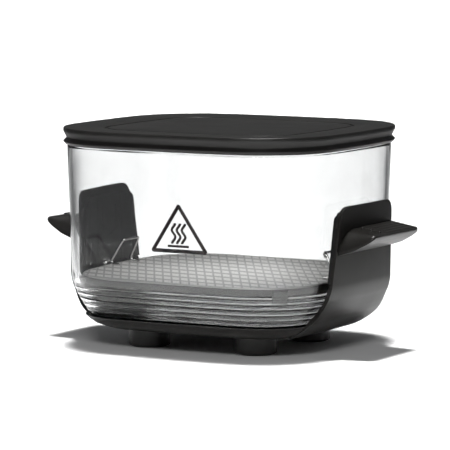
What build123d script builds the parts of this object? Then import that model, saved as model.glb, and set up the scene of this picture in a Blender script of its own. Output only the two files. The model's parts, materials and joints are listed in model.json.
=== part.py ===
"""Glass cooking container: a lidded glass vessel in a plastic cradle, with a lift-out tray.

Millimetres. X runs from grip to grip, -Y is the printed front, +Z is up, and the origin lies
on the table under the middle of the vessel.
"""

import math
import os

from build123d import *

# ---- driving dimensions -------------------------------------------------------------------
LID_WIDTH = 245.0            # across the lid, along X
LID_DEPTH = 224.2            # across the lid, along Y
LID_CORNER = 66.4            # corner radius of the lid's outline
SIDE_TURN = 4.3              # degrees that each side bows, from its middle to its corner
LID_TOP = 178.4
LID_BOTTOM = 164.5

WALL_FOOT = 60.0             # height where the glass wall starts to curve in
WALL_FOOT_INSET = 6.8        # outline of the glass there, inside the lid's outline
DRAFT = 0.033                # outward lean of the glass wall
CURVE_INSET = 6.1            # how far the wall has come in, CURVE_DROP below its foot
CURVE_DROP = 20.0
CURVE_POWER = 1.75
GLASS_THICK = 3.4
GLASS_BOTTOM = 19.0
GLASS_TOP = 171.0
RIM_STEP = 163.0             # the rim is stepped in above this, under the lid
RIB_FIRST = 27.5             # moulded rings round the lower wall
RIB_PITCH = 4.6
RIB_COUNT = 6
RIB_DEPTH = 0.7

LINER_OUT = 3.6              # offsets from the glass wall, outwards
LINER_TOP = 116.0
LINER_FOOT = 60.0
LINER_TRIM = 5.0             # how much narrower than the covers a liner is, on each edge
FRAME_IN = 4.0
FRAME_TRIM = 2.2             # the same for the frame
TAB_IN = 7.0                 # inner face of the tabs above the frame
COVER_OUT = 7.8
COVER_LEAN = 0.035           # outward lean of the covers, on top of the wall's
COVER_THICK = 1.9
SKIN_GAP = 0.1               # between the covers and the frame
BASE_BOTTOM = 15.0
BASE_FLOOR = 17.6
BASE_LIP = 26.0
FRAME_TOP = 107.0
TAB_TOP = 121.0
TAIL_REACH = 72.0            # where the covers end under the base, from the middle
STRAP_TOP = 44.4             # half widths of a strap at its top and near the base
STRAP_FOOT = 52.5
# Where the covers turn in under the base: height and inset of their outer face, and how much
# of a layer's thickness counts upwards and inwards there.
TURN_UNDER = ((13.6, 44.0, 0.7, 0.5), (14.3, 37.5, 0.7, 0.5), (15.9, 31.5, 0.6, 0.5),
              (18.4, 26.2, 0.4, 0.6), (22.0, 20.8, 0.1, 0.7), (28.0, 13.4, 0.0, 0.9),
              (36.5, 7.2, 0.0, 1.0))
# Heights and insets of the inner face of the frame, which hugs the glass.
FRAME_BED = ((BASE_FLOOR, 36.5), (19.0, 32.2), (22.0, 24.3), (28.0, 19.1), (36.5, 12.5),
             (45.0, 7.4))

FOOT_X = 49.5                # foot centres
FOOT_Y = 45.4
FOOT_RADIUS = 17.0
FOOT_BOTTOM = 0.6
PAD_RADIUS = 14.4
PAD_THICK = 2.0
BOSS_FOOT = 7.0              # lowest point of the screw bosses
HEAD_SEAT = 4.4              # height where a foot screw's head bears

GRIP_ROOT = 122.0            # where the grip is cut from, inside the cover's face
# Slices of a grip: x, underside, top, depth and height of the front shoulder, half width.
GRIP_SLICES = ((GRIP_ROOT, 82.2, 103.3, 24.0, 20.7, 44.5), (136.0, 86.8, 101.4, 15.0, 14.2, 42.3),
               (146.0, 92.0, 100.0, 7.0, 7.6, 40.3), (153.0, 96.7, 99.3, 2.0, 1.4, 38.4))
RIB_X = 129.0                # first rib on a grip, and where its round lies
RIB_Z = 101.9
RIB_STEP = (5.4, -0.68)
STUD_X = 131.5               # first stud at the front end of a grip
STUD_Z = 101.6
STUD_STEP = (7.6, -0.96)
STUD_Y = -18.5
GRIP_SCREW_Y = 20.0
GRIP_SCREW_Z = 96.0
SCREW_SEAT = 1.9             # depth of the seats for the grip screws in the frame
SCREW_LENGTH = 14.0
DRILL_SPARE = 2.0              # how far a screw hole runs past the screw's tip

TRAY_TOP = 59.0
TRAY_HALF_X = 107.0
TRAY_HALF_Y = 97.5
TRAY_CORNER = 52.0
SKIRT = 6.0
TRAY_SLOT = 50.0             # slots through the tray's plate
TRAY_LAND = 12.0
TRAY_PITCH = 13.6
WIRE = 1.1                   # radius of the wire handles
HANDLE_HALF = 16.0
HANDLE_TOP_HALF = 12.5
HANDLE_RISE = 21.2
HANDLE_LEAN = 11.2
HANDLE_INSET = 2.2           # from the tray's edge to the wire's foot
BAR_Y = 40.0                 # the two bars under the tray
BEND_X = 53.6                # centres of the tray's corners
BEND_Y = 43.9

PLUG_BOTTOM = 165.0          # lower edge of the lid's plug
LID_INSIDE = 174.4           # underside of the lid's top
SEAL_LOW = 165.8
SEAL_HIGH = 169.4

FIT = 0.4                    # clearance between the lid and the glass
REACH = 140.0                # a cut or a side view is carried this far from the middle

WINDOW_HALF = 25.0           # the window in a liner, behind the grip screws
WINDOW_TOP = 106.0
WINDOW_TURN = 95.0
WINDOW_LOW = 82.0
SCREW_HOLE = 2.0             # radii of the grip screws' holes and counterbores
SCREW_BORE = 3.7
SCREW_CORE = 1.7


# ---- shared shapes ------------------------------------------------------------------------
def outline(z, inset):
    """The vessel's family outline at height z: a rounded rectangle with slightly bowed sides."""
    half_x = LID_WIDTH / 2 - inset
    half_y = LID_DEPTH / 2 - inset
    return bowed_outline(z, half_x, half_y, LID_CORNER - inset)


def bowed_outline(z, half_x, half_y, corner):
    """Tangent arcs: a bowed side, a corner and a bowed side, mirrored into all four quarters."""
    turn = math.radians(SIDE_TURN)
    sine = math.sin(turn)
    bow = 1 - math.cos(turn)
    # The two side radii that close a quarter of the outline, from two linear equations.
    rest_x = half_x - corner * (math.cos(turn) - sine)
    rest_y = half_y - corner * (math.cos(turn) - sine)
    scale = sine * sine - bow * bow
    radius_front = (rest_x * sine - rest_y * bow) / scale
    radius_side = (rest_y * sine - rest_x * bow) / scale
    with BuildSketch(Plane.XY.offset(z)) as face:
        with BuildLine():
            front = JernArc((0, half_y), (1, 0), radius_front, -SIDE_TURN)
            bend = JernArc(front @ 1, front % 1, corner, 2 * SIDE_TURN - 90)
            JernArc(bend @ 1, bend % 1, radius_side, -SIDE_TURN)
            mirror(about=Plane.XZ)
            mirror(about=Plane.YZ)
        make_face()
    return face.sketch


def wall_inset(z):
    """How far the glass wall lies inside the lid's outline at height z."""
    if z >= WALL_FOOT:
        return WALL_FOOT_INSET - DRAFT * (z - WALL_FOOT)
    return WALL_FOOT_INSET + CURVE_INSET * ((WALL_FOOT - z) / CURVE_DROP) ** CURVE_POWER


def wall_levels(low, high, offset=0.0, drop=0.0):
    """Heights and insets up the wall, spaced to follow its curve, moved out by offset."""
    steps = 8
    foot = WALL_FOOT + drop
    levels = [low + (min(foot, high) - low) * i / steps for i in range(steps + 1)]
    if high > foot:
        levels.append(high)
    return [(z, wall_inset(z - drop) - offset) for z in levels]


def stack(levels):
    """The solid whose outline has each inset at each height, straight from one to the next."""
    return loft(sections=[outline(z, inset) for z, inset in levels], ruled=True,
                mode=Mode.PRIVATE)


def strap_profile(top, trim, corner):
    """Side view of a strap: narrow at the top with round corners, wider towards the base."""
    half_top = STRAP_TOP - trim
    half_foot = STRAP_FOOT - trim
    with BuildSketch(Plane.YZ) as view:
        with BuildLine():
            top_line = Line((0, top), (half_top - corner, top))
            shoulder = JernArc(top_line @ 1, (1, 0), corner, -84)
            Polyline(shoulder @ 1, (half_foot, 42), (half_foot + 4, 28), (half_foot + 6, 0),
                     (0, 0), top_line @ 0)
        make_face()
        mirror(about=Plane.YZ)
    return view.sketch


# ---- glass vessel -------------------------------------------------------------------------
def glass_outer_levels():
    """The outside of the glass: a rounded foot, moulded rings, a drafted wall, a stepped rim."""
    levels = [(GLASS_BOTTOM, wall_inset(GLASS_BOTTOM) + 4.5), (22.0, wall_inset(22.0))]
    for i in range(RIB_COUNT):
        z = RIB_FIRST + RIB_PITCH * i
        levels.append((z - 0.6, wall_inset(z - 0.6)))
        levels.append((z, wall_inset(z) + RIB_DEPTH))
        levels.append((z + 0.9, wall_inset(z + 0.9)))
    levels += [(WALL_FOOT, wall_inset(WALL_FOOT)), (RIM_STEP, wall_inset(RIM_STEP)),
               (RIM_STEP + 0.6, wall_inset(RIM_STEP) + 1.0),
               (GLASS_TOP - 0.8, wall_inset(RIM_STEP) + 1.0),
               (GLASS_TOP, wall_inset(RIM_STEP) + 1.7)]
    return levels


with BuildPart() as glass_vessel:
    add(stack(glass_outer_levels()))
    add(stack(wall_levels(GLASS_BOTTOM + 5.0, GLASS_TOP + 1.0, -GLASS_THICK, 3.0)),
        mode=Mode.SUBTRACT)
glass_vessel.part.label = "glass_vessel"


# Where the heads of the grip screws bear, from the middle of the object.
SEAT_X = LID_WIDTH / 2 - wall_inset(GRIP_SCREW_Z) + FRAME_IN + SCREW_SEAT


# ---- cradle frame: base dish and the two inner straps -------------------------------------
def cover_inset(z):
    """How far the covers' outer face lies inside the lid's outline, above the turn."""
    return wall_inset(z) - COVER_OUT - COVER_LEAN * max(z - WALL_FOOT, 0.0)


def cover_levels(top, depth):
    """The covers' outer face from under the base up to top, moved in by depth."""
    turn = [(z + depth * up, inset + depth * inwards) for z, inset, up, inwards in TURN_UNDER]
    return turn + [(z, cover_inset(z) + depth) for z in (45.0, 50.0, 55.0, WALL_FOOT, top)]


def frame_block(top, grow=0.0):
    """What the frame is cut from: it lies inside the covers, thinner under the base."""
    levels = cover_levels(top, COVER_THICK + SKIN_GAP - grow)
    return stack([(BASE_BOTTOM - grow, levels[0][1])] + levels[1:])


with BuildPart() as cradle_frame:
    add(frame_block(FRAME_TOP + 2))
    with BuildPart(mode=Mode.INTERSECT):
        extrude(strap_profile(FRAME_TOP, FRAME_TRIM, 4.0), amount=REACH, both=True)
        Box(2 * REACH, 2 * REACH, BASE_LIP, align=(Align.CENTER, Align.CENTER, Align.MIN))
    add(stack(list(FRAME_BED)
              + [(z, wall_inset(z) - FRAME_IN) for z in (WALL_FOOT, FRAME_TOP + 3)]),
        mode=Mode.SUBTRACT)
    with BuildSketch(Plane.XY.offset(BOSS_FOOT)):
        with GridLocations(2 * FOOT_X, 2 * FOOT_Y, 2, 2):
            Circle(5)
    extrude(amount=BASE_BOTTOM + 0.5 - BOSS_FOOT)
    with Locations(Plane.XY.offset(BOSS_FOOT)):
        with GridLocations(2 * FOOT_X, 2 * FOOT_Y, 2, 2):
            Cylinder(1.7, 8, align=(Align.CENTER, Align.CENTER, Align.MIN), mode=Mode.SUBTRACT)
    with BuildSketch(Plane.YZ):
        with Locations((-GRIP_SCREW_Y, GRIP_SCREW_Z), (GRIP_SCREW_Y, GRIP_SCREW_Z)):
            Circle(SCREW_HOLE)
    extrude(amount=REACH, both=True, mode=Mode.SUBTRACT)
    with BuildSketch(Plane.YZ):
        with Locations((-GRIP_SCREW_Y, GRIP_SCREW_Z), (GRIP_SCREW_Y, GRIP_SCREW_Z)):
            Circle(SCREW_BORE)
    extrude(amount=SEAT_X, both=True, mode=Mode.SUBTRACT)
cradle_frame.part.label = "cradle_frame"


# ---- strap covers, liners and grips -------------------------------------------------------
def strap_half(side):
    """A box round one side of the object, from the end of the strap's tail outwards."""
    return Pos(side * (TAIL_REACH + 35), 0, 70) * Box(70, 160, 160)


def make_cover(side):
    """One strap cover: skin outside the frame, full thickness above the frame's top."""
    with BuildPart() as cover:
        add(stack(cover_levels(TAB_TOP + 2, 0.0)))
        add(frame_block(FRAME_TOP + 0.2, SKIN_GAP), mode=Mode.SUBTRACT)
        add(stack([(z, wall_inset(z) - TAB_IN) for z in (FRAME_TOP + 0.1, TAB_TOP + 3)]),
            mode=Mode.SUBTRACT)
        add(strap_half(side), mode=Mode.INTERSECT)
        extrude(strap_profile(TAB_TOP, 0.0, 11.0), amount=REACH, both=True, mode=Mode.INTERSECT)
        with BuildSketch(Plane.YZ):
            with Locations((-GRIP_SCREW_Y, GRIP_SCREW_Z), (GRIP_SCREW_Y, GRIP_SCREW_Z)):
                Circle(SCREW_HOLE)
        extrude(amount=REACH, both=True, mode=Mode.SUBTRACT)
    return cover.part


def make_liner(side):
    """The heat-proof pad between glass and strap, with a U-shaped window at the grip."""
    with BuildPart() as liner:
        add(stack([(z, wall_inset(z) - LINER_OUT) for z in (LINER_FOOT, LINER_TOP)]))
        add(stack([(z, wall_inset(z) - 0.1) for z in (LINER_FOOT - 0.1, LINER_TOP + 1)]),
            mode=Mode.SUBTRACT)
        add(strap_half(side), mode=Mode.INTERSECT)
        extrude(strap_profile(LINER_TOP, LINER_TRIM, 9.0), amount=REACH, both=True,
                mode=Mode.INTERSECT)
        with BuildSketch(Plane.YZ):
            with BuildLine():
                left = Line((-WINDOW_HALF, WINDOW_TOP), (-WINDOW_HALF, WINDOW_TURN))
                bottom = ThreePointArc(left @ 1, (0, WINDOW_LOW), (WINDOW_HALF, WINDOW_TURN))
                Polyline(bottom @ 1, (WINDOW_HALF, WINDOW_TOP), left @ 0)
            make_face()
        extrude(amount=side * REACH, mode=Mode.SUBTRACT)
    return liner.part


def grip_section(x, low, high, shoulder_y, shoulder_z, half):
    """A slice of the grip across X: square at the rear end, shouldered at the front end."""
    with BuildSketch(Plane.YZ.offset(x)) as cut:
        with BuildLine():
            floor = Line((half, low), (-half, low))
            wall = Line(floor @ 1, (-half, high - shoulder_z))
            arc = EllipticalCenterArc((shoulder_y - half, high - shoulder_z), shoulder_y,
                                      shoulder_z, start_angle=90, arc_size=90)
            Polyline(arc @ 0, (half, high), floor @ 0)
        make_face()
    return cut.sketch


def make_grip(side):
    """A ledge to lift by: ribbed top sloping outwards, wedge underside, blunt nose."""
    with BuildPart() as grip:
        loft(sections=[grip_section(*slice_) for slice_ in GRIP_SLICES], ruled=True)
        nose = grip.faces().sort_by(Axis.X)[-1].edges().filter_by(Axis.Y)
        fillet(nose, 0.9)
        with BuildSketch(Plane.XZ.offset(14.0)):
            with Locations(*[(RIB_X + RIB_STEP[0] * i, RIB_Z + RIB_STEP[1] * i)
                             for i in range(5)]):
                Circle(1.3)
        extrude(amount=-50.0)
        with Locations(*[(STUD_X + STUD_STEP[0] * i, STUD_Y, STUD_Z + STUD_STEP[1] * i)
                         for i in range(3)]):
            Sphere(1.2)
        add(stack(cover_levels(TAB_TOP, 0.0)), mode=Mode.SUBTRACT)
        with BuildSketch(Plane.YZ.offset(GRIP_ROOT)):
            with Locations((-GRIP_SCREW_Y, GRIP_SCREW_Z), (GRIP_SCREW_Y, GRIP_SCREW_Z)):
                Circle(SCREW_CORE)
        extrude(amount=SCREW_LENGTH + DRILL_SPARE, mode=Mode.SUBTRACT)
    return grip.part if side > 0 else grip.part.mirror(Plane.YZ)


def turned_screw(head_radius, head, shank_radius, length):
    """A pan-head screw along +Z with its bearing face at the origin."""
    with BuildPart() as screw:
        Cylinder(shank_radius, length, align=(Align.CENTER, Align.CENTER, Align.MIN))
        with Locations((0, 0, -head)):
            Cylinder(head_radius, head, align=(Align.CENTER, Align.CENTER, Align.MIN))
        chamfer(screw.faces().sort_by(Axis.Z)[0].edges(), 0.4)
        with Locations((0, 0, -head)):
            Cylinder(0.9, 1.4, align=(Align.CENTER, Align.CENTER, Align.MIN),
                     mode=Mode.SUBTRACT)
    return screw.part


# ---- feet ---------------------------------------------------------------------------------
def make_foot(x, y):
    """A round moulded foot, hollow above, with a seat for its pad and its screw below."""
    with BuildPart() as foot:
        with BuildSketch(Plane.XY.offset(FOOT_BOTTOM)):
            with Locations((x, y)):
                Circle(FOOT_RADIUS)
        extrude(amount=BASE_BOTTOM - FOOT_BOTTOM)
        fillet(foot.faces().sort_by(Axis.Z)[0].edges(), 1.6)
        for low, high, radius in ((FOOT_BOTTOM, PAD_THICK, PAD_RADIUS + 0.1),
                                  (PAD_THICK, HEAD_SEAT, 4.2), (HEAD_SEAT, BOSS_FOOT, 1.9),
                                  (BOSS_FOOT, BASE_BOTTOM, 14.0)):
            with BuildSketch(Plane.XY.offset(low)):
                with Locations((x, y)):
                    Circle(radius)
            extrude(amount=high - low, mode=Mode.SUBTRACT)
    return foot.part


def make_disc(x, y, low, high, radius):
    """A flat round pad with softened edges."""
    with BuildPart() as disc:
        with BuildSketch(Plane.XY.offset(low)):
            with Locations((x, y)):
                Circle(radius)
        extrude(amount=high - low)
        chamfer(disc.edges().filter_by(GeomType.CIRCLE), 0.3)
    return disc.part


# ---- lid ----------------------------------------------------------------------------------
RIM_INSET = wall_inset(RIM_STEP) + 1.0
PLUG_INSET = wall_inset(GLASS_TOP) + GLASS_THICK + 1.9

with BuildPart() as seal_groove:
    add(stack([(SEAL_LOW - 0.1, PLUG_INSET - 1), (SEAL_HIGH + 0.1, PLUG_INSET - 1)]))
    add(stack([(SEAL_LOW - 1, PLUG_INSET + 0.8), (SEAL_HIGH + 1, PLUG_INSET + 0.8)]),
        mode=Mode.SUBTRACT)

with BuildPart() as lid_cover:
    # Outside, upwards: lower edge, pointed bead, waist, top flange.
    add(stack([(LID_BOTTOM, 2.4), (LID_BOTTOM + 2.6, 0.0), (LID_BOTTOM + 5.6, 3.0),
               (LID_BOTTOM + 10.4, 0.4), (LID_TOP - 1.6, 0.0), (LID_TOP - 0.5, 0.4),
               (LID_TOP, 1.5)]))
    # Shallow dish in the top.
    add(stack([(LID_TOP - 1.4, 36.0), (LID_TOP, 21.0), (LID_TOP + 1, 21.0)]),
        mode=Mode.SUBTRACT)
    # Room for the rim of the glass.
    add(stack([(LID_BOTTOM - 1, RIM_INSET - FIT), (GLASS_TOP + 0.6, RIM_INSET - FIT)]),
        mode=Mode.SUBTRACT)
    # The plug that stands inside the rim, its hollow and the groove for the seal.
    add(stack([(PLUG_BOTTOM, PLUG_INSET), (GLASS_TOP + 0.7, PLUG_INSET)]))
    add(stack([(PLUG_BOTTOM - 1, PLUG_INSET + 2.4), (LID_INSIDE, PLUG_INSET + 2.4)]),
        mode=Mode.SUBTRACT)
    add(seal_groove.part, mode=Mode.SUBTRACT)
lid_cover.part.label = "lid_cover"

with BuildPart() as lid_seal:
    add(stack([(SEAL_LOW, PLUG_INSET - 0.2), (SEAL_LOW + 0.9, PLUG_INSET - 1.4),
               (SEAL_LOW + 1.8, PLUG_INSET - 0.4), (SEAL_LOW + 2.7, PLUG_INSET - 1.4),
               (SEAL_HIGH, PLUG_INSET - 0.2)]))
    add(stack([(SEAL_LOW - 1, PLUG_INSET + 0.8), (SEAL_HIGH + 1, PLUG_INSET + 0.8)]),
        mode=Mode.SUBTRACT)
lid_seal.part.label = "lid_seal"


# ---- tray ---------------------------------------------------------------------------------
with BuildPart() as tray_plate:
    add(bowed_outline(TRAY_TOP - 1.4, TRAY_HALF_X - 1.6, TRAY_HALF_Y - 1.6, TRAY_CORNER - 1.6))
    extrude(amount=1.0)
    with BuildSketch(Plane.XY.offset(TRAY_TOP - 2)):
        with GridLocations(TRAY_SLOT + TRAY_LAND, TRAY_PITCH, 3, 11):
            SlotOverall(TRAY_SLOT, 5.0)
    extrude(amount=3, mode=Mode.SUBTRACT)
tray_plate.part.label = "tray_plate"

with BuildPart() as tray_rim:
    add(bowed_outline(TRAY_TOP - SKIRT, TRAY_HALF_X, TRAY_HALF_Y, TRAY_CORNER))
    extrude(amount=SKIRT)
    fillet(tray_rim.faces().sort_by(Axis.Z)[-1].edges(), 0.8)
    add(bowed_outline(TRAY_TOP - SKIRT - 1, TRAY_HALF_X - 1.5, TRAY_HALF_Y - 1.5,
                      TRAY_CORNER - 1.5))
    extrude(amount=SKIRT + 2, mode=Mode.SUBTRACT)
tray_rim.part.label = "tray_rim"


def make_bar(y):
    """A round bar across the tray, welded under its plate from skirt to skirt."""
    with BuildPart() as bar:
        with BuildSketch(Plane.YZ.offset(-TRAY_HALF_X)):
            with Locations((y, TRAY_TOP - 1.5 - 1.3)):
                Circle(1.3)
        extrude(amount=2 * TRAY_HALF_X)
        extrude(bowed_outline(TRAY_TOP - SKIRT - 1, TRAY_HALF_X - 1.6, TRAY_HALF_Y - 1.6,
                              TRAY_CORNER - 1.6), amount=SKIRT + 2, mode=Mode.INTERSECT)
    return bar.part


def make_handle(side):
    """A wire loop that stands on the tray's edge and leans inwards, its feet bent inwards."""
    foot_x = side * (TRAY_HALF_X - HANDLE_INSET)
    top_x = side * (TRAY_HALF_X - HANDLE_INSET - HANDLE_LEAN)
    low = TRAY_TOP + WIRE - 0.3
    toe_x = side * (TRAY_HALF_X - 12.0)
    with BuildPart() as handle:
        with BuildLine() as path:
            FilletPolyline((toe_x, -HANDLE_HALF, low), (foot_x, -HANDLE_HALF, low),
                           (top_x, -HANDLE_TOP_HALF, TRAY_TOP + HANDLE_RISE),
                           (top_x, HANDLE_TOP_HALF, TRAY_TOP + HANDLE_RISE),
                           (foot_x, HANDLE_HALF, low), (toe_x, HANDLE_HALF, low), radius=2.6)
        with BuildSketch(Plane(origin=path.line @ 0, z_dir=path.line % 0)):
            Circle(WIRE)
        sweep(path=path.line)
    return handle.part


def make_bumper(step_x, step_y):
    """A soft clip on a corner of the skirt that carries the tray and keeps it off the glass."""
    turn = math.degrees(math.atan2(step_y, step_x))
    seat = Plane(origin=(step_x * BEND_X, step_y * BEND_Y, 47.5)).rotated((0, 0, turn))
    with BuildPart() as bumper:
        with BuildSketch(seat):
            with Locations((TRAY_CORNER + 0.6, 0)):
                RectangleRounded(7.0, 12.0, 1.5)
        extrude(amount=9.0)
        add(stack(wall_levels(44.0, 62.0, -GLASS_THICK - 0.5, 3.0)), mode=Mode.INTERSECT)
        add(tray_rim.part, mode=Mode.SUBTRACT)
    return bumper.part


# ---- every other piece, placed ------------------------------------------------------------
pieces = {"glass_vessel": glass_vessel.part, "cradle_frame": cradle_frame.part,
          "lid_cover": lid_cover.part, "lid_seal": lid_seal.part,
          "tray_plate": tray_plate.part, "tray_rim": tray_rim.part,
          "tray_bar_front": make_bar(-BAR_Y), "tray_bar_rear": make_bar(BAR_Y)}

for name, side in (("left", -1), ("right", 1)):
    pieces["strap_cover_" + name] = make_cover(side)
    pieces["strap_liner_" + name] = make_liner(side)
    pieces["grip_" + name] = make_grip(side)
    pieces["tray_handle_" + name] = make_handle(side)

corners = {"front_left": (-1, -1), "front_right": (1, -1),
           "rear_left": (-1, 1), "rear_right": (1, 1)}
for name, (step_x, step_y) in corners.items():
    x = step_x * FOOT_X
    y = step_y * FOOT_Y
    pieces["tray_bumper_" + name] = make_bumper(step_x, step_y)
    pieces["foot_" + name] = make_foot(x, y)
    pieces["foot_pad_" + name] = make_disc(x, y, 0.0, PAD_THICK, PAD_RADIUS)
    pieces["base_pad_" + name] = make_disc(x, y, BASE_FLOOR, GLASS_BOTTOM, 9.0)

foot_screw = turned_screw(3.8, 2.0, 1.6, 9.6)
pieces["foot_screws"] = Compound([Pos(step_x * FOOT_X, step_y * FOOT_Y, HEAD_SEAT) * foot_screw
                                  for step_x, step_y in corners.values()])

grip_screw = turned_screw(3.4, 1.6, 1.6, SCREW_LENGTH)
pieces["grip_screws"] = Compound([Pos(side * SEAT_X, y, GRIP_SCREW_Z) * Rot(0, side * 90, 0)
                                  * grip_screw
                                  for side in (-1, 1) for y in (-GRIP_SCREW_Y, GRIP_SCREW_Y)])

os.makedirs("parts", exist_ok=True)
for name, piece in pieces.items():
    piece.label = name
    export_step(piece, "parts/" + name + ".step")
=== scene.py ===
"""Looks for the lidded glass container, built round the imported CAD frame, in metres."""
import json
import math

import bmesh
import bpy
from mathutils import Matrix, Vector


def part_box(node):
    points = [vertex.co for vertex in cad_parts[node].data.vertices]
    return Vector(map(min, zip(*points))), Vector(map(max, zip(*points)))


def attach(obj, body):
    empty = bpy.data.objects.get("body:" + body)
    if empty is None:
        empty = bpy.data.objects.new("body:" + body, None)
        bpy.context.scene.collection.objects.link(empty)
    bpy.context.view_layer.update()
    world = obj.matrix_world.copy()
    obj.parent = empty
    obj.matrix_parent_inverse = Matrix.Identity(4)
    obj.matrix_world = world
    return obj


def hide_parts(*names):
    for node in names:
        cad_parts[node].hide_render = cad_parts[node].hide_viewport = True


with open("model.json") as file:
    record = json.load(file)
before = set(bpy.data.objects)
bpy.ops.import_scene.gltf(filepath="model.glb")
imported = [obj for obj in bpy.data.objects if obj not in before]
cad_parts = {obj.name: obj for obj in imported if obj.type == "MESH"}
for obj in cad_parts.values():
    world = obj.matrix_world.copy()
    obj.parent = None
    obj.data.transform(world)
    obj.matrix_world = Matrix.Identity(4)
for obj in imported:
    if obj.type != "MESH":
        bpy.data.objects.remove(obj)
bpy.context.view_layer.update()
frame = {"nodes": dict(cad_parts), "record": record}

MM = 0.001
AZIMUTH = math.radians(29.46)
LID_LOW, LID_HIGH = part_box("lid_cover")
GLASS_LOW, GLASS_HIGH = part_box("glass_vessel")
COVER_LOW, COVER_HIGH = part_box("strap_cover_right")
LINER_LOW, LINER_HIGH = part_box("strap_liner_right")
GRIP_LOW, GRIP_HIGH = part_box("grip_right")
PLATE_LOW, PLATE_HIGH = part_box("tray_plate")

# The family outline: a rounded rectangle with slightly bowed sides, inset from the lid's edge.
HALF_X = LID_HIGH.x
HALF_Y = LID_HIGH.y
CORNER = 66.4 * MM
SIDE_TURN = math.radians(4.3)
SIDE_STEPS = 5
CORNER_STEPS = 22

# How far the strap's layers stand out from the glass wall, and how much they are trimmed.
FRAME_OUT = 4.0 * MM
FRAME_TRIM = 2.2 * MM
LINER_OUT = 3.6 * MM
LINER_GAP = 0.15 * MM
LINER_TRIM = 5.0 * MM

# The glass wall, which the straps follow at an offset.
WALL_FOOT = 60 * MM
WALL_FOOT_INSET = 6.8 * MM
DRAFT = 0.033
CURVE_INSET = 6.1 * MM
CURVE_DROP = 20 * MM
CURVE_POWER = 1.75
GLASS_THICK = 3.4 * MM


# ---- outline geometry ---------------------------------------------------------------------
def side_radii(half_x, half_y, corner):
    """Radii of the bowed front and side that close a quarter of the outline."""
    sine = math.sin(SIDE_TURN)
    bow = 1 - math.cos(SIDE_TURN)
    rest_x = half_x - corner * (math.cos(SIDE_TURN) - sine)
    rest_y = half_y - corner * (math.cos(SIDE_TURN) - sine)
    scale = sine * sine - bow * bow
    return (rest_x * sine - rest_y * bow) / scale, (rest_y * sine - rest_x * bow) / scale


def quarter(half_x, half_y, corner):
    """Points of the outline from the middle of the rear to the middle of the right side."""
    front, side = side_radii(half_x, half_y, corner)
    x = 0.0
    y = half_y
    points = [(x, y)]
    arcs = ((front, 0, SIDE_TURN, SIDE_STEPS),
            (corner, SIDE_TURN, math.pi / 2 - SIDE_TURN, CORNER_STEPS),
            (side, math.pi / 2 - SIDE_TURN, math.pi / 2, SIDE_STEPS))
    for radius, start, end, steps in arcs:
        for i in range(1, steps + 1):
            heading = start + (end - start) * i / steps
            points.append((x + radius * (math.sin(heading) - math.sin(start)),
                           y - radius * (math.cos(start) - math.cos(heading))))
        x, y = points[-1]
    return points


def bowed_loop(half_x, half_y, corner):
    """The whole outline, clockwise from the middle of the rear."""
    first = quarter(half_x, half_y, corner)
    right = first + [(x, -y) for x, y in first[-2::-1]]
    return right + [(-x, y) for x, y in right[-2:0:-1]]


def loop(inset):
    return bowed_loop(HALF_X - inset, HALF_Y - inset, CORNER - inset)


def edge_x(y, inset):
    """Half width of the outline at y, on its bowed side or round its corner."""
    half_x = HALF_X - inset
    corner = CORNER - inset
    side = side_radii(half_x, HALF_Y - inset, corner)[1]
    turn_y = side * math.sin(SIDE_TURN)
    y = abs(y)
    if y <= turn_y:
        return half_x - side + math.sqrt(side * side - y * y)
    centre_x = half_x - side + (side - corner) * math.cos(SIDE_TURN)
    centre_y = (side - corner) * math.sin(SIDE_TURN)
    return centre_x + math.sqrt(max(corner * corner - (y - centre_y) ** 2, 0.0))


def edge_y(x, inset):
    """Half depth of the outline at x, on its bowed front."""
    half_y = HALF_Y - inset
    front = side_radii(HALF_X - inset, half_y, CORNER - inset)[0]
    return half_y - front + math.sqrt(front * front - x * x)


def wall_inset(z):
    """How far the glass wall lies inside the lid's outline at height z."""
    if z >= WALL_FOOT:
        return WALL_FOOT_INSET - DRAFT * (z - WALL_FOOT)
    return WALL_FOOT_INSET + CURVE_INSET * ((WALL_FOOT - z) / CURVE_DROP) ** CURVE_POWER


def soften(points, radius, steps=4):
    """Rounds each inner corner of a section line with a short curve."""
    out = [points[0]]
    for before, here, after in zip(points, points[1:], points[2:]):
        a, p, b = Vector(before), Vector(here), Vector(after)
        reach_a = min(radius, (a - p).length * 0.45)
        reach_b = min(radius, (b - p).length * 0.45)
        start = p + (a - p).normalized() * reach_a
        end = p + (b - p).normalized() * reach_b
        for i in range(steps + 1):
            t = i / steps
            q = start * (1 - t) ** 2 + p * 2 * t * (1 - t) + end * t * t
            out.append((q.x, q.y))
    out.append(points[-1])
    return out


# ---- mesh helpers -------------------------------------------------------------------------
def make_object(name, verts, faces, sharp=32):
    mesh = bpy.data.meshes.new(name)
    mesh.from_pydata(verts, [], faces)
    shell = bmesh.new()
    shell.from_mesh(mesh)
    bmesh.ops.remove_doubles(shell, verts=shell.verts, dist=1e-6)
    bmesh.ops.recalc_face_normals(shell, faces=shell.faces)
    shell.to_mesh(mesh)
    shell.free()
    mesh.shade_smooth()
    mesh.set_sharp_from_angle(angle=math.radians(sharp))
    obj = bpy.data.objects.new(name, mesh)
    bpy.context.collection.objects.link(obj)
    return obj


def ring_form(section, closed=False):
    """Sweeps a section line of (height, inset) round the family outline."""
    verts = []
    faces = []
    for z, inset in section:
        verts += [(x, y, z) for x, y in loop(inset)]
    count = len(verts) // len(section)
    rows = len(section)
    for row in range(rows if closed else rows - 1):
        a = row * count
        b = (row + 1) % rows * count
        for i in range(count):
            j = (i + 1) % count
            faces.append((a + i, a + j, b + j, b + i))
    if not closed:
        faces.append(tuple(range(count - 1, -1, -1)))
        faces.append(tuple(range((rows - 1) * count, rows * count)))
    return verts, faces


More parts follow.
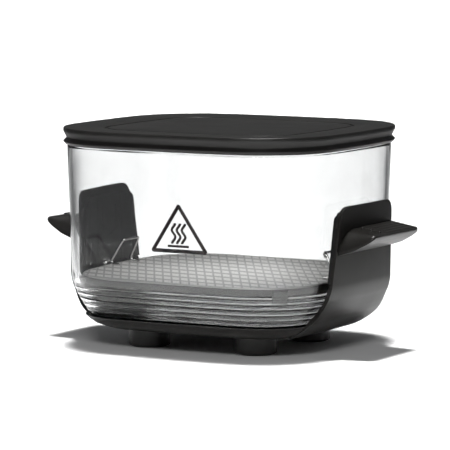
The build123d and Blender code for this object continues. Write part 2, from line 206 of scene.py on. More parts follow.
def slab_form(outer, inner):
    """A closed slab between two equal grids of points."""
    rows = len(outer)
    cols = len(outer[0])
    verts = [p for row in outer for p in row] + [p for row in inner for p in row]
    back = rows * cols
    faces = []
    for r in range(rows - 1):
        for c in range(cols - 1):
            a = r * cols + c
            faces.append((a, a + 1, a + cols + 1, a + cols))
            faces.append((back + a + cols, back + a + cols + 1, back + a + 1, back + a))
    border = [(0, c) for c in range(cols)] + [(r, cols - 1) for r in range(1, rows)]
    border += [(rows - 1, c) for c in range(cols - 2, -1, -1)]
    border += [(r, 0) for r in range(rows - 2, 0, -1)]
    for (r1, c1), (r2, c2) in zip(border, border[1:] + border[:1]):
        a = r1 * cols + c1
        b = r2 * cols + c2
        faces.append((a, b, back + b, back + a))
    return verts, faces


def merge(*forms):
    """Several forms as one."""
    verts = []
    faces = []
    for form_verts, form_faces in forms:
        base = len(verts)
        verts += form_verts
        faces += [tuple(base + i for i in face) for face in form_faces]
    return verts, faces


def bevel(obj, width, segments=3, angle=40):
    mod = obj.modifiers.new("soft_edges", "BEVEL")
    mod.width = width
    mod.segments = segments
    mod.limit_method = "ANGLE"
    mod.angle_limit = math.radians(angle)
    mod.harden_normals = False


def hand(side):
    """The word for side -1 or 1 in the names."""
    return "right" if side > 0 else "left"


def settle(obj, body, *nodes):
    """The piece rides on its body and stands for its CAD nodes."""
    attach(obj, body)
    if nodes:
        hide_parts(*nodes)
    return obj


# ---- materials ----------------------------------------------------------------------------
def new_material(name):
    material = bpy.data.materials.new(name)
    material.use_nodes = True
    tree = material.node_tree
    return material, tree, tree.nodes["Principled BSDF"]


def noise(tree, scale, detail=3.0, roughness=0.5, stretch=(1, 1, 1)):
    """Noise in the row frame, so that it stays on the piece."""
    place = tree.nodes.new("ShaderNodeTexCoord")
    fit = tree.nodes.new("ShaderNodeMapping")
    fit.inputs["Scale"].default_value = stretch
    grain = tree.nodes.new("ShaderNodeTexNoise")
    grain.inputs["Scale"].default_value = scale
    grain.inputs["Detail"].default_value = detail
    grain.inputs["Roughness"].default_value = roughness
    tree.links.new(place.outputs["Object"], fit.inputs["Vector"])
    tree.links.new(fit.outputs["Vector"], grain.inputs["Vector"])
    return grain


def ramp(tree, source, low, high, start=0.35, end=0.65):
    """Spreads a grey value between two colours or two numbers."""
    node = tree.nodes.new("ShaderNodeValToRGB")
    node.color_ramp.elements[0].position = start
    node.color_ramp.elements[1].position = end
    for element, value in zip(node.color_ramp.elements, (low, high)):
        element.color = (*value, 1) if isinstance(value, tuple) else (value, value, value, 1)
    tree.links.new(source, node.inputs["Fac"])
    return node.outputs["Color"]


def bump(tree, shader, height, strength, distance):
    node = tree.nodes.new("ShaderNodeBump")
    node.inputs["Strength"].default_value = strength
    node.inputs["Distance"].default_value = distance
    tree.links.new(height, node.inputs["Height"])
    tree.links.new(node.outputs["Normal"], shader.inputs["Normal"])


def moulded(name, dark, light, rough_low, rough_high, grain=2600, depth=0.00004):
    """Moulded plastic or rubber: fine spark texture, faint cloudiness in colour and gloss."""
    material, tree, shader = new_material(name)
    cloud = noise(tree, 22, 4)
    fine = noise(tree, grain, 2)
    tree.links.new(ramp(tree, cloud.outputs["Fac"], dark, light), shader.inputs["Base Color"])
    tree.links.new(ramp(tree, cloud.outputs["Fac"], rough_low, rough_high),
                   shader.inputs["Roughness"])
    bump(tree, shader, fine.outputs["Fac"], 0.35, depth)
    shader.inputs["Specular IOR Level"].default_value = 0.36
    return material


def clear_glass():
    """Pressed heat-proof glass: clear, a little uneven, with a breath of haze."""
    material, tree, shader = new_material("clear_glass")
    slow = noise(tree, 9, 2)
    haze = noise(tree, 60, 3)
    tree.links.new(ramp(tree, haze.outputs["Fac"], (0.875, 0.88, 0.88), (0.90, 0.905, 0.905)),
                   shader.inputs["Base Color"])
    tree.links.new(ramp(tree, haze.outputs["Fac"], 0.0, 0.012), shader.inputs["Roughness"])
    bump(tree, shader, slow.outputs["Fac"], 0.2, 0.0004)
    shader.inputs["Transmission Weight"].default_value = 1.0
    shader.inputs["IOR"].default_value = 1.47
    return material


def metal(name, dark, light, rough_low, rough_high, scale, stretch=(1, 1, 1), strength=0.2):
    """Drawn or rolled steel with fine streaks."""
    material, tree, shader = new_material(name)
    streak = noise(tree, scale, 4, 0.6, stretch)
    tree.links.new(ramp(tree, streak.outputs["Fac"], dark, light), shader.inputs["Base Color"])
    tree.links.new(ramp(tree, streak.outputs["Fac"], rough_low, rough_high),
                   shader.inputs["Roughness"])
    bump(tree, shader, streak.outputs["Fac"], strength, 0.00003)
    shader.inputs["Metallic"].default_value = 1.0
    return material


# Painted shade lines on the tray mesh: dark bands that stand for the shaded gaps of its squares,
# drawn in colour in place of geometry. Turn in degrees, then half spacing and half widths at the
# dark and pale edge, in mm.
PAINTED_SHADE_LINES = ((-31, 3.4, 0.45, 1.0), (96, 9.5, 2.2, 4.2))
# How dark the painted shade lines are.
LINE_SHADE = 0.55


def mesh_painted_shade():
    """Tray floor: pale matt steel with painted shade, two families of darker lines that cross and
    stand for the shaded gaps of the mesh's squares.
    """
    material, tree, shader = new_material("tray_mesh_painted_shade_lines")
    place = tree.nodes.new("ShaderNodeTexCoord")
    painted_shade_masks = []
    for angle, fold_at, thin, thick in PAINTED_SHADE_LINES:
        turn = tree.nodes.new("ShaderNodeMapping")
        turn.inputs["Rotation"].default_value[2] = math.radians(angle)
        split = tree.nodes.new("ShaderNodeSeparateXYZ")
        tree.links.new(place.outputs["Object"], turn.inputs["Vector"])
        tree.links.new(turn.outputs["Vector"], split.inputs["Vector"])
        fold = tree.nodes.new("ShaderNodeMath")
        fold.operation = "PINGPONG"
        fold.inputs[1].default_value = fold_at * MM
        tree.links.new(split.outputs["X"], fold.inputs[0])
        line = tree.nodes.new("ShaderNodeMapRange")
        line.inputs["From Min"].default_value = thin * MM
        line.inputs["From Max"].default_value = thick * MM
        line.inputs["To Min"].default_value = LINE_SHADE
        line.inputs["To Max"].default_value = 1.0
        tree.links.new(fold.outputs[0], line.inputs["Value"])
        painted_shade_masks.append(line)
    # The darker of the two line masks: painted shade laid over the mesh's pale tone.
    painted_shade_min = tree.nodes.new("ShaderNodeMath")
    painted_shade_min.operation = "MINIMUM"
    tree.links.new(painted_shade_masks[0].outputs["Result"], painted_shade_min.inputs[0])
    tree.links.new(painted_shade_masks[1].outputs["Result"], painted_shade_min.inputs[1])
    weave = noise(tree, 700, 3)
    shade = ramp(tree, weave.outputs["Fac"], (0.80, 0.79, 0.77), (0.98, 0.97, 0.95))
    scale = tree.nodes.new("ShaderNodeVectorMath")
    scale.operation = "SCALE"
    tree.links.new(shade, scale.inputs[0])
    tree.links.new(painted_shade_min.outputs[0], scale.inputs["Scale"])
    tree.links.new(scale.outputs[0], shader.inputs["Base Color"])
    tree.links.new(ramp(tree, weave.outputs["Fac"], 0.45, 0.6), shader.inputs["Roughness"])
    bump(tree, shader, weave.outputs["Fac"], 0.4, 0.0001)
    return material


def rim_painted_highlight_and_shade():
    """Tray edge: a painted highlight along the rolled top, and a painted reflection of the dark
    surroundings down the skirt, with fine brushed streaks in the gloss.
    """
    material, tree, shader = new_material("tray_rim_painted_highlight_and_shade")
    place = tree.nodes.new("ShaderNodeTexCoord")
    split = tree.nodes.new("ShaderNodeSeparateXYZ")
    tree.links.new(place.outputs["Object"], split.inputs["Vector"])
    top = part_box("tray_rim")[1].z
    # Height mask for painted light: painted highlight above, painted dark reflection on the skirt
    # below.
    level = tree.nodes.new("ShaderNodeMapRange")
    level.inputs["From Min"].default_value = top - 1.5 * MM
    level.inputs["From Max"].default_value = top - 0.8 * MM
    tree.links.new(split.outputs["Z"], level.inputs["Value"])
    # Dark colour: painted reflection of dark surroundings on the skirt; pale colour: painted
    # highlight on the rolled top.
    tree.links.new(ramp(tree, level.outputs["Result"], (0.12, 0.118, 0.113), (0.72, 0.71, 0.69)),
                   shader.inputs["Base Color"])
    streak = noise(tree, 400, 4, 0.6, (1, 1, 6))
    tree.links.new(ramp(tree, streak.outputs["Fac"], 0.35, 0.5), shader.inputs["Roughness"])
    bump(tree, shader, streak.outputs["Fac"], 0.2, 0.00003)
    shader.inputs["Metallic"].default_value = 0.6
    return material


def floor_paper():
    material, tree, shader = new_material("floor_paper")
    cloud = noise(tree, 3, 3)
    tree.links.new(ramp(tree, cloud.outputs["Fac"], (0.90, 0.90, 0.90), (0.93, 0.93, 0.93)),
                   shader.inputs["Base Color"])
    shader.inputs["Roughness"].default_value = 0.9
    return material


def printed_ink():
    material, tree, shader = new_material("printed_ink")
    speckle = noise(tree, 900, 2)
    tree.links.new(ramp(tree, speckle.outputs["Fac"], (0.006, 0.003, 0.003), (0.016, 0.008, 0.007)),
                   shader.inputs["Base Color"])
    tree.links.new(ramp(tree, speckle.outputs["Fac"], 0.45, 0.6), shader.inputs["Roughness"])
    return material


CRADLE = moulded("cradle_plastic", (0.0075, 0.0068, 0.0058), (0.0105, 0.0096, 0.0085), 0.34, 0.42)
LID = moulded("lid_plastic", (0.0085, 0.0080, 0.0074), (0.0115, 0.0108, 0.0100), 0.36, 0.44)
SILICONE = moulded("silicone", (0.008, 0.008, 0.008), (0.012, 0.012, 0.012), 0.45, 0.55, 1800)
GREY_CLIP = moulded("grey_silicone", (0.10, 0.10, 0.098), (0.14, 0.14, 0.137), 0.5, 0.6, 1800)
RUBBER = moulded("foot_rubber", (0.007, 0.007, 0.007), (0.010, 0.010, 0.010), 0.6, 0.7, 1500)
GLASS = clear_glass()
TRAY = metal("tray_steel", (0.52, 0.50, 0.475), (0.64, 0.62, 0.595), 0.42, 0.55, 300)
WIRE = metal("wire_steel", (0.62, 0.62, 0.61), (0.72, 0.72, 0.71), 0.10, 0.2, 500, (1, 1, 8))
SCREW = metal("screw_steel", (0.45, 0.45, 0.44), (0.55, 0.55, 0.54), 0.2, 0.35, 900)
# MESH: the tray mesh material, with painted shade lines for the shaded gaps of its squares.
MESH = mesh_painted_shade()
# RIM: the tray edge, with a painted highlight on top and a painted dark reflection down the skirt.
RIM = rim_painted_highlight_and_shade()
INK = printed_ink()

BY_SLOT = {"glass": GLASS, "cradle_plastic": CRADLE, "lid_plastic": LID, "silicone": SILICONE,
           "foot_rubber": RUBBER, "tray_steel": TRAY, "wire_steel": WIRE, "screw_steel": SCREW}


def paint(obj, slot):
    """Gives a new piece its material and the record's slot."""
    obj.data.materials.clear()
    obj.data.materials.append(BY_SLOT[slot])
    return obj


def paint_frame():
    """The CAD nodes that stay get their slot's material."""
    slot_of = {row["node"]: row["material_slot"] for row in frame["record"]["subparts"]}
    for name, obj in frame["nodes"].items():
        material = GREY_CLIP if name.startswith("tray_bumper") else BY_SLOT[slot_of[name]]
        if not obj.material_slots:
            obj.data.materials.append(material)
        for slot in obj.material_slots:
            slot.material = material


# ---- glass vessel -------------------------------------------------------------------------
RIB_FIRST = 27.5 * MM
RIB_PITCH = 4.6 * MM
RIB_COUNT = 6
RIB_DEPTH = 0.7 * MM


def rib(z):
    """Depth of the moulded rings at height z: sharp grooves between rounded lands."""
    phase = (z - RIB_FIRST) / RIB_PITCH
    if phase < -0.5 or phase > RIB_COUNT - 0.5:
        return 0.0
    return RIB_DEPTH * (1 - abs(math.sin(math.pi * phase))) ** 2


def build_glass():
    """Thick pressed wall, rings round its lower part, softened rim and foot."""
    bottom = GLASS_LOW.z
    top = GLASS_HIGH.z
    rim_step = 163 * MM
    outer = [(bottom, wall_inset(bottom) + 12 * MM), (bottom, wall_inset(bottom) + 4.5 * MM),
             (bottom + 3 * MM, wall_inset(bottom + 3 * MM))]
    outer = soften(outer, 3 * MM)
    z = bottom + 3.4 * MM
    while z < WALL_FOOT:
        outer.append((z, wall_inset(z) + rib(z)))
        z += 0.3 * MM
    rim = wall_inset(rim_step)
    top_line = [(WALL_FOOT, wall_inset(WALL_FOOT)), (110 * MM, wall_inset(110 * MM)),
                (rim_step, rim), (rim_step + 0.6 * MM, rim + 1.0 * MM), (top, rim + 1.0 * MM),
                (top, wall_inset(top) + GLASS_THICK),
                (150 * MM, wall_inset(150 * MM) + GLASS_THICK)]
    section = outer + soften(top_line, 0.9 * MM)
    floor = bottom + 5 * MM
    drop = 3 * MM
    z = WALL_FOOT + drop
    while z > floor + 4 * MM:
        section.append((z, wall_inset(z - drop) + GLASS_THICK))
        z -= 1.5 * MM
    low = wall_inset(floor + 4 * MM - drop) + GLASS_THICK
    section += soften([(floor + 4 * MM, low), (floor, low + 7 * MM), (floor, low + 22 * MM)],
                      6 * MM, 8)
    obj = make_object("vessel_glass", *ring_form(section), sharp=50)
    return settle(paint(obj, "glass"), "cradle", "glass_vessel")


# ---- lid ----------------------------------------------------------------------------------
def build_lid():
    """Top flange, waist, pointed bead and plug in one section, with a shallow dished top."""
    base = LID_LOW.z
    top = LID_HIGH.z
    rim = wall_inset(163 * MM) + 0.6 * MM
    plug = wall_inset(GLASS_HIGH.z) + GLASS_THICK + 1.9 * MM
    inside = 174.4 * MM
    under = [(inside, 60 * MM), (inside, plug + 2.4 * MM), (165.0 * MM, plug + 2.4 * MM),
             (165.0 * MM, plug), (171.7 * MM, plug), (171.7 * MM, rim), (base, rim)]
    outside = [(base, rim), (base, 2.4 * MM), (base + 2.6 * MM, 0.05 * MM),
               (base + 5.6 * MM, 3.0 * MM), (base + 10.4 * MM, 0.4 * MM),
               (top - 1.7 * MM, 0.02 * MM), (top, 0.6 * MM), (top, 20 * MM)]
    crown = [(top, 20 * MM), (top - 1.0 * MM, 33.6 * MM), (top - 2.0 * MM, 34.0 * MM),
             (top - 2.0 * MM, 36.0 * MM), (top - 1.0 * MM, 36.5 * MM), (top - 0.8 * MM, 60 * MM)]
    section = (soften(under, 0.5 * MM)[:-1] + soften(outside, 0.75 * MM, 5)[:-1]
               + soften(crown, 0.25 * MM))
    obj = make_object("lid_shell", *ring_form(section), sharp=50)
    return settle(paint(obj, "lid_plastic"), "lid", "lid_cover")


# ---- cradle and straps --------------------------------------------------------------------
COVER_OUT = 7.8 * MM
COVER_LEAN = 0.035
COVER_THICK = 1.9 * MM
FRAME_TOP = 107 * MM
TAB_IN = 7.0 * MM
STRAP_TOP = 44.4 * MM
STRAP_FOOT = 52.5 * MM
# Height, inset and share of the thickness of the outer face where it turns in under the base.
TURN_UNDER = ((13.6, 44.0, 0.5), (13.8, 40.5, 0.5), (14.4, 37.3, 0.5), (15.9, 31.5, 0.5),
              (18.4, 26.2, 0.55), (22.0, 20.6, 0.7), (25.0, 16.7, 0.8), (28.0, 13.4, 0.9),
              (32.0, 10.0, 0.95), (36.5, 7.2, 1.0), (41.0, 4.9, 1.0), (45.0, 2.95, 1.0))
# Height and inset of the frame's inner face, which hugs the glass.
FRAME_BED = ((17.6, 36.5), (19.0, 32.2), (22.0, 24.3), (28.0, 19.1), (36.5, 12.5), (45.0, 7.4),
             (60.0, 2.8))


def between(table, z):
    """Linear reading of a table of heights and values, in millimetres."""
    for low, high in zip(table, table[1:]):
        if z <= high[0]:
            t = max((z - low[0]) / (high[0] - low[0]), 0.0)
            return [a + (b - a) * t for a, b in zip(low[1:], high[1:])]
    return list(table[-1][1:])


def cover_inset(z):
    """Outer face of a strap: it follows the wall, leans out, and turns in under the base."""
    if z >= 45 * MM:
        return wall_inset(z) - COVER_OUT - COVER_LEAN * max(z - WALL_FOOT, 0.0)
    return between(TURN_UNDER, z / MM)[0] * MM


def layer_inset(z, depth):
    """The same face moved in by a layer's thickness, thinner under the base."""
    share = 1.0 if z >= 45 * MM else between(TURN_UNDER, z / MM)[1]
    return cover_inset(z) + depth * share


def bed_inset(z):
    """Inner face of the frame."""
    if z >= WALL_FOOT:
        return wall_inset(z) - FRAME_OUT
    return between(FRAME_BED, z / MM)[0] * MM


def strap_half(z, top, trim, corner):
    """Half width of a strap at height z, with its rounded top corners."""
    half_top = STRAP_TOP - trim
    half_foot = STRAP_FOOT - trim
    foot_z = 42 * MM
    slope_top = top - corner
    if z < foot_z:
        return half_foot + 4 * MM * min((foot_z - z) / (14 * MM), 1.0)
    half = half_foot + (half_top - half_foot) * (z - foot_z) / (slope_top - foot_z)
    if z > slope_top:
        half = half_top - corner + math.sqrt(max(corner ** 2 - (z - slope_top) ** 2, 0.0))
    return half


def strap_rows(low, top, corner, step=1.6 * MM):
    """Heights up a strap, closer together under the base and round the top corners."""
    rows = []
    z = low
    while z < top - corner - 0.3 * step:
        rows.append(z)
        z += 0.5 * step if z < 30 * MM else step
    return rows + [top - corner + corner * math.sin(math.pi / 2 * i / 9) for i in range(10)]


def strap_grid(side, rows, half_at, inset_at, count=33):
    """A grid of points over one face of a strap."""
    grid = []
    for z in rows:
        half = half_at(z)
        row = []
        for i in range(count):
            y = half * (2 * i / (count - 1) - 1)
            row.append((side * edge_x(y, inset_at(y, z)), y, z))
        grid.append(row)
    return grid


def build_cover(side):
    """Outer skin of a strap with its thick tab, its edges softened."""
    top = COVER_HIGH.z
    rows = strap_rows(COVER_LOW.z, top, 11 * MM)

    def half_at(z):
        return strap_half(z, top, 0.0, 11 * MM)

    def inner(y, z):
        if z < FRAME_TOP:
            return layer_inset(z, COVER_THICK)
        return wall_inset(z) - TAB_IN

    form = slab_form(strap_grid(side, rows, half_at, lambda y, z: cover_inset(z)),
                     strap_grid(side, rows, half_at, inner))
    obj = make_object("strap_skin_" + hand(side), *form, sharp=40)
    bevel(obj, 0.6 * MM)
    node = "strap_cover_" + hand(side)
    return settle(paint(obj, "cradle_plastic"), "cradle", node)


def build_frame():
    """Base dish with its raised lip, and the inner strap on each side, in one piece."""
    floor_z = 17.6 * MM
    lip = 26 * MM
    gap = COVER_THICK + 0.1 * MM
    outside = [(15.0 * MM, 60 * MM), (15.0 * MM, 46 * MM)]
    outside += [((z + 0.9) * MM, (inset + 1.0) * MM) for z, inset, _ in TURN_UNDER[1:4]]
    outside += [(z * MM, layer_inset(z * MM, gap)) for z in (19.5, 21.0, 22.5, 24.0, 25.4)]
    outside += [(lip, layer_inset(lip, gap) + 0.5 * MM), (lip, bed_inset(lip) - 0.4 * MM)]
    inside = [(lip - 0.5 * MM, bed_inset(lip))]
    inside += [(z * MM, bed_inset(z * MM)) for z in (24.0, 22.0, 20.5, 19.0)]
    inside += [(floor_z, 38 * MM), (floor_z, 60 * MM)]
    forms = [ring_form(outside + inside)]
    rows = strap_rows(22.5 * MM, FRAME_TOP, 4 * MM)

    def half_at(z):
        return strap_half(z, FRAME_TOP, FRAME_TRIM, 4 * MM)

    for side in (-1, 1):
        forms.append(slab_form(strap_grid(side, rows, half_at, lambda y, z: layer_inset(z, gap)),
                               strap_grid(side, rows, half_at, lambda y, z: bed_inset(z))))
    obj = make_object("cradle_shell", *merge(*forms), sharp=40)
    bevel(obj, 0.4 * MM, 2)
    return settle(paint(obj, "cradle_plastic"), "cradle", "cradle_frame")


FLUTES = ((20.5 * MM, 1.6 * MM), (36 * MM, 1.4 * MM))
FLUTE_DEPTH = 1.1 * MM
WINDOW_RADIUS = 11 * MM
WINDOW_TURN = 95 * MM
WINDOW_TOP = 106 * MM


def flute(y, z):
    """How far the liner's inner face is cut back: flutes and a U-shaped window edge."""
    cut = 0.0
    for line, width in FLUTES:
        gap = abs(abs(y) - line)
        if gap < width:
            cut = max(cut, FLUTE_DEPTH * math.cos(gap / width * math.pi / 2))
    window = math.hypot(y / WINDOW_RADIUS, min(z - WINDOW_TURN, 0.0) / WINDOW_RADIUS)
    if z < WINDOW_TOP and 0.84 < window < 1.12:
        cut = max(cut, FLUTE_DEPTH)
    return cut


def build_liner(side):
    """Fluted heat-proof pad between strap and glass."""
    top = LINER_HIGH.z
    rows = strap_rows(LINER_LOW.z, top, 9 * MM, 1.0 * MM)

    def half_at(z):
        return strap_half(z, top, LINER_TRIM, 9 * MM)

    form = slab_form(
        strap_grid(side, rows, half_at, lambda y, z: wall_inset(z) - LINER_OUT, 121),
        strap_grid(side, rows, half_at, lambda y, z: wall_inset(z) - LINER_GAP - flute(y, z), 121))
    obj = make_object("strap_pad_" + hand(side), *form, sharp=40)
    node = "strap_liner_" + hand(side)
    return settle(paint(obj, "silicone"), "cradle", node)


# ---- grips --------------------------------------------------------------------------------
# Across the grip, in mm: x, underside, top, depth and height of the front shoulder, half width.
GRIP_SLICES = ((122.0, 82.2, 103.3, 24.0, 20.7, 44.5), (136.0, 86.8, 101.4, 15.0, 14.2, 42.3),
               (146.0, 92.0, 100.0, 7.0, 7.6, 40.3), (153.0, 96.7, 99.3, 2.0, 1.9, 38.4))
GRIP_STEPS = 110
NOSE_ROUND = 3.5 * MM
GRIP_RIB_FIRST = 128.5 * MM
GRIP_RIB_PITCH = 5.2 * MM
GRIP_RIB_LAST = 4.5             # in pitches past the first
GRIP_RIB_RISE = 0.8 * MM
STUD_FIRST = 131.5
STUD_PITCH = 7.6
STUD_Y = -18.5 * MM
STUD_RADIUS = 1.15 * MM
STUD_RINGS = 10
STUD_SEGMENTS = 16


def grip_levels(x):
    """Underside, top, shoulder depth and height, and half width of a grip at x."""
    x = min(max(x / MM, GRIP_SLICES[0][0]), GRIP_SLICES[-1][0])
    for a, b in zip(GRIP_SLICES, GRIP_SLICES[1:]):
        if x <= b[0]:
            t = (x - a[0]) / (b[0] - a[0])
            return [(p + (q - p) * t) * MM for p, q in zip(a[1:], b[1:])]


def build_grip(side):
    """Ribbed ledge with a wedge underside and a swept shoulder at its front end."""
    nose = GRIP_HIGH.x
    root = GRIP_SLICES[0][0] * MM
    sections = []
    for i in range(GRIP_STEPS + 1):
        x = root + (nose - root) * i / GRIP_STEPS
        low, high, shoulder_y, shoulder_z, half = grip_levels(x)
        end = max(0.0, (x - (nose - NOSE_ROUND)) / NOSE_ROUND)
        blunt = 1 - math.sqrt(max(1 - end * end, 0.0))
        half -= NOSE_ROUND * blunt
        middle = (low + high) / 2
        low += (middle - low) * blunt * 0.8
        high += (middle - high) * blunt * 0.8
        shoulder_z = min(shoulder_z, high - low)
        phase = (x - GRIP_RIB_FIRST) / GRIP_RIB_PITCH
        swell = 0.0
        if -0.5 < phase < GRIP_RIB_LAST:
            swell = GRIP_RIB_RISE * (0.5 + 0.5 * math.cos(2 * math.pi * phase))
        line = [(half - 2 * half * k / 8, low) for k in range(9)]
        for k in range(1, 19):
            turn = math.pi / 2 * k / 18
            line.append((-half + shoulder_y * (1 - math.cos(turn)),
                         high - shoulder_z + shoulder_z * math.sin(turn)))
        for k in range(1, 53):
            y = -half + shoulder_y + (2 * half - shoulder_y) * k / 52
            rise = min(max((y + 15 * MM) / (1.5 * MM), 0.0), 1.0)
            fall = min(max((half - 1.5 * MM - y) / (1.5 * MM), 0.0), 1.0)
            line.append((y, high + swell * rise * fall))
        sections.append([(x, y, z) for y, z in line])
    verts = []
    for row in sections:
        for x, y, z in row:
            face = edge_x(y, cover_inset(z)) - 0.3 * MM
            verts.append((side * max(x, face), y, z))
    cols = len(sections[0])
    faces = []
    for r in range(GRIP_STEPS):
        for c in range(cols):
            d = (c + 1) % cols
            faces.append((r * cols + c, r * cols + d, (r + 1) * cols + d, (r + 1) * cols + c))
    faces.append(tuple(range(cols)))
    faces.append(tuple(range(GRIP_STEPS * cols, (GRIP_STEPS + 1) * cols)))
    name = "grip_" + hand(side)
    obj = make_object(name + "_ledge", verts, faces, 30)
    add_studs(obj, side)
    return settle(paint(obj, "cradle_plastic"), "cradle", name)


def add_studs(obj, side):
    """Three small domes in line at the front end of the grip."""
    mesh = bmesh.new()
    mesh.from_mesh(obj.data)
    for i in range(3):
        x = (STUD_FIRST + STUD_PITCH * i) * MM
        centre = Vector((side * x, STUD_Y, grip_levels(x)[1] + 0.05 * MM))
        rings = []
        for k in range(STUD_RINGS + 1):
            tilt = math.pi * k / STUD_RINGS
            rings.append([])
            for j in range(STUD_SEGMENTS if 0 < k < STUD_RINGS else 1):
                turn = 2 * math.pi * j / STUD_SEGMENTS
                reach = STUD_RADIUS * math.sin(tilt)
                rings[-1].append(mesh.verts.new(centre + Vector((
                    reach * math.cos(turn), reach * math.sin(turn), STUD_RADIUS * math.cos(tilt)))))
        for upper, lower in zip(rings, rings[1:]):
            for j in range(STUD_SEGMENTS):
                face = (upper[j % len(upper)], lower[j % len(lower)],
                        lower[(j + 1) % len(lower)], upper[(j + 1) % len(upper)])
                mesh.faces.new(list(dict.fromkeys(face)))
    for face in mesh.faces:
        face.smooth = True
    mesh.to_mesh(obj.data)
    mesh.free()


# ---- tray ---------------------------------------------------------------------------------
def build_mesh_floor():
    """Crossed bars at a fine pitch; the wider squares are dark lines of painted shade in the mesh's
    material.
    """
    angle = math.radians(31)
    pitch = 1.7 * MM
    half_x = PLATE_HIGH.x
    half_y = PLATE_HIGH.y
    rim = bowed_loop(half_x, half_y, 50.4 * MM)
    count = int(math.hypot(half_x, half_y) / pitch)
    forms = []
    for family in (0, 1):
        turn = angle + family * math.pi / 2
        along = Vector((math.cos(turn), math.sin(turn)))
        across = Vector((-along.y, along.x))
        top = PLATE_HIGH.z - family * 0.04 * MM
        low = top - 0.6 * MM
        half = 0.8 * MM
        edge = top - 0.07 * MM
        section = ((-half, low), (half, low), (half, edge), (half * 0.5, top),
                   (-half * 0.5, top), (-half, edge))
        for i in range(-count, count + 1):
            span = chord(rim, across * (i * pitch), along)
            if span is None:
                continue
            verts = []
            for s in span:
                for shift, z in section:
                    p = along * s + across * (i * pitch + shift)
                    verts.append((p.x, p.y, z))
            faces = [(k, (k + 1) % 6, 6 + (k + 1) % 6, 6 + k) for k in range(6)]
            faces += [(5, 4, 3, 2, 1, 0), (6, 7, 8, 9, 10, 11)]
            forms.append((verts, faces))
    obj = make_object("tray_mesh", *merge(*forms), sharp=30)
    paint(obj, "tray_steel")
    # MESH carries painted shade: its dark lines stand for the shaded gaps of the mesh.
    obj.data.materials[0] = MESH
    return settle(obj, "tray", "tray_plate")


def build_tray_rim():
    """Rolled edge and short skirt of the tray."""
    low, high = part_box("tray_rim")
    corner = 52 * MM
    wall = 1.5 * MM
    roll = 0.95 * MM
    line = [(low.z, 0.0), (high.z - roll, 0.0)]
    for k in range(1, 9):
        turn = math.pi * k / 8
        line.append((high.z - roll + roll * math.sin(turn), (1 - math.cos(turn)) * wall / 2))
    line += [(low.z, wall), (low.z, 0.0)]
    verts = []
    faces = []
    for z, inset in line[:-1]:
        verts += [(x, y, z) for x, y in bowed_loop(high.x - inset, high.y - inset, corner - inset)]
    rows = len(line) - 1
    count = len(verts) // rows
    for r in range(rows):
        a = r * count
        b = (r + 1) % rows * count
        for i in range(count):
            j = (i + 1) % count
            faces.append((a + i, a + j, b + j, b + i))
    obj = make_object("tray_edge", verts, faces, 40)
    paint(obj, "tray_steel")
    # RIM paints light: a highlight on the rolled top and a dark reflection down the skirt.
    obj.data.materials[0] = RIM
    return settle(obj, "tray", "tray_rim")


def chord(rim, origin, along):
    """Where a line crosses a closed convex outline, as two distances along it."""
    hits = []
    normal = Vector((-along.y, along.x))
    for a, b in zip(rim, rim[1:] + rim[:1]):
        side_a = (Vector(a) - origin).dot(normal)
        side_b = (Vector(b) - origin).dot(normal)
        if (side_a < 0) != (side_b < 0):
            p = Vector(a).lerp(Vector(b), side_a / (side_a - side_b))
            hits.append((p - origin).dot(along))
    if len(hits) < 2 or max(hits) - min(hits) < 4 * MM:
        return None
    return min(hits), max(hits)


# ---- printed heat mark --------------------------------------------------------------------
def ribbon(points, width, closed):
    """A flat band of that width along points, as quads."""
    count = len(points)
    left = []
    right = []
    for i, p in enumerate(points):
        before = points[i - 1] if closed or i > 0 else p
        after = points[(i + 1) % count] if closed or i < count - 1 else p
        run = (Vector(after) - Vector(before)).normalized()
        side = Vector((-run.y, run.x)) * width / 2
        left.append(Vector(p) + side)
        right.append(Vector(p) - side)
    verts = left + right
    faces = []
    for i in range(count if closed else count - 1):
        j = (i + 1) % count
        faces.append((i, j, count + j, count + i))
    return verts, faces


def build_heat_mark():
    """A triangle round three rising waves and a bar, printed on the front of the glass."""
    centre_x = 14 * MM
    base_z = 86.3 * MM
    half = 23.8 * MM
    height = 36.0 * MM
    corners = [(-half, 0.0), (0.0, height), (half, 0.0)]
    frame_line = soften(corners[-1:] + corners + corners[:1], 0.6 * MM, 4)[1:-1]
    bands = [(frame_line, 3.0 * MM, True)]
    for step in (-1, 0, 1):
        wave = []
        for i in range(49):
            t = i / 48
            wave.append(((step * 4.5 - 0.2) * MM - 1.5 * MM * math.cos(3 * math.pi * t),
                         (5.8 + 16.4 * t) * MM))
        bands.append((wave, 2.2 * MM, False))
    bands.append(([(-10.2 * MM, 3.9 * MM), (8.8 * MM, 3.9 * MM)], 1.9 * MM, False))
    verts = []
    faces = []
    for points, width, closed in bands:
        band_verts, band_faces = ribbon(points, width, closed)
        base = len(verts)
        for p in band_verts:
            x = centre_x + p.x
            z = base_z + p.y
            verts.append((x, -edge_y(x, wall_inset(z)) - 0.12 * MM, z))
        faces += [tuple(base + k for k in face) for face in band_faces]
    obj = make_object("heat_mark", verts, faces, 30)
    skin = obj.modifiers.new("ink_thickness", "SOLIDIFY")
    skin.thickness = 0.08 * MM
    skin.offset = 0
    obj.data.materials.append(INK)
    return settle(obj, "cradle")


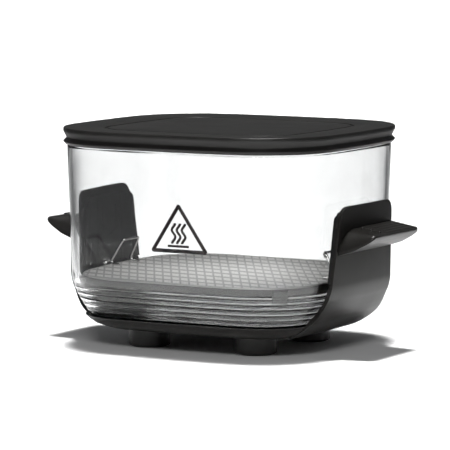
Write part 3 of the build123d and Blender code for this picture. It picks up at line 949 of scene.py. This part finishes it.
# ---- studio -------------------------------------------------------------------------------
# Name, place along away, right and up, target, width, length, power and spread.
LIGHTS = (("overhead", (4.9, 0.0, 3.4), (4.9, 0.0, 0.0), 0.7, 12.0, 40.0, 8),
          ("overhead_far", (8.5, 0.0, 3.4), (8.5, 0.0, 0.0), 2.6, 12.0, 150.0, 30),
          ("left_panel", (-0.6, -2.2, 1.0), (0.0, 0.0, 0.08), 0.35, 1.2, 1.6, 180),
          ("right_panel", (-0.4, 2.4, 1.3), (0.0, 0.0, 0.08), 0.25, 1.2, 0.9, 180),
          ("front_top", (-2.1, -0.2, 1.35), (0.0, 0.0, 0.08), 0.8, 0.4, 16.0, 180),
          ("under_lid", (0.0, 0.0, 0.155), (0.0, 0.0, 0.0), 0.13, 0.11, 0.11, 180))
FLOOR_SIZE = 16


def build_studio():
    """Pale floor under two long overhead lights, with weak fill from the sides and front."""
    mesh = bpy.data.meshes.new("floor")
    corners = ((-1, -1), (1, -1), (1, 1), (-1, 1))
    mesh.from_pydata([(x * FLOOR_SIZE, y * FLOOR_SIZE, 0) for x, y in corners], [], [(0, 1, 2, 3)])
    floor = bpy.data.objects.new("floor", mesh)
    floor.location.z = -0.0003
    bpy.context.collection.objects.link(floor)
    floor.data.materials.append(floor_paper())

    world = bpy.data.worlds.new("surround")
    bpy.context.scene.world = world
    world.use_nodes = True
    sky = world.node_tree.nodes["Background"]
    sky.inputs["Color"].default_value = (0.95, 0.97, 1.0, 1)
    sky.inputs["Strength"].default_value = 0.095

    away = Vector((-math.sin(AZIMUTH), math.cos(AZIMUTH), 0))
    right = Vector((math.cos(AZIMUTH), math.sin(AZIMUTH), 0))
    up = Vector((0, 0, 1))
    for name, place, target, width, length, power, spread in LIGHTS:
        data = bpy.data.lights.new(name, "AREA")
        data.shape = "RECTANGLE"
        data.size = width
        data.size_y = length
        data.energy = power
        data.spread = math.radians(spread)
        lamp = bpy.data.objects.new(name, data)
        spot = away * place[0] + right * place[1] + up * place[2]
        aim = away * target[0] + right * target[1] + up * target[2]
        lamp.location = spot
        lamp.rotation_mode = "QUATERNION"
        if name.startswith("overhead"):
            lamp.rotation_quaternion = Matrix((right, away, up)).transposed().to_quaternion()
        else:
            lamp.rotation_quaternion = (aim - spot).to_track_quat("-Z", "Y")
        bpy.context.collection.objects.link(lamp)


def build_camera():
    """A long lens a little above the table, right of the front."""
    elevation = math.radians(6.22)
    distance = 2.925
    target = Vector((0, 0, 0.09))
    level = math.cos(elevation)
    back = Vector((math.sin(AZIMUTH) * level, -math.cos(AZIMUTH) * level, math.sin(elevation)))
    data = bpy.data.cameras.new("camera")
    data.sensor_width = 36
    data.lens = 286.6
    data.shift_x = -0.0107
    data.shift_y = 0.0180
    data.clip_end = 60
    camera = bpy.data.objects.new("camera", data)
    camera.location = target + back * distance
    camera.rotation_mode = "QUATERNION"
    camera.rotation_quaternion = (-back).to_track_quat("-Z", "Y")
    bpy.context.collection.objects.link(camera)
    bpy.context.scene.camera = camera


build_camera()
paint_frame()
build_glass()
build_lid()
for side in (-1, 1):
    build_cover(side)
    build_liner(side)
    build_grip(side)
build_frame()
build_mesh_floor()
build_tray_rim()
build_heat_mark()
build_studio()
bpy.context.scene.view_settings.view_transform = "Standard"
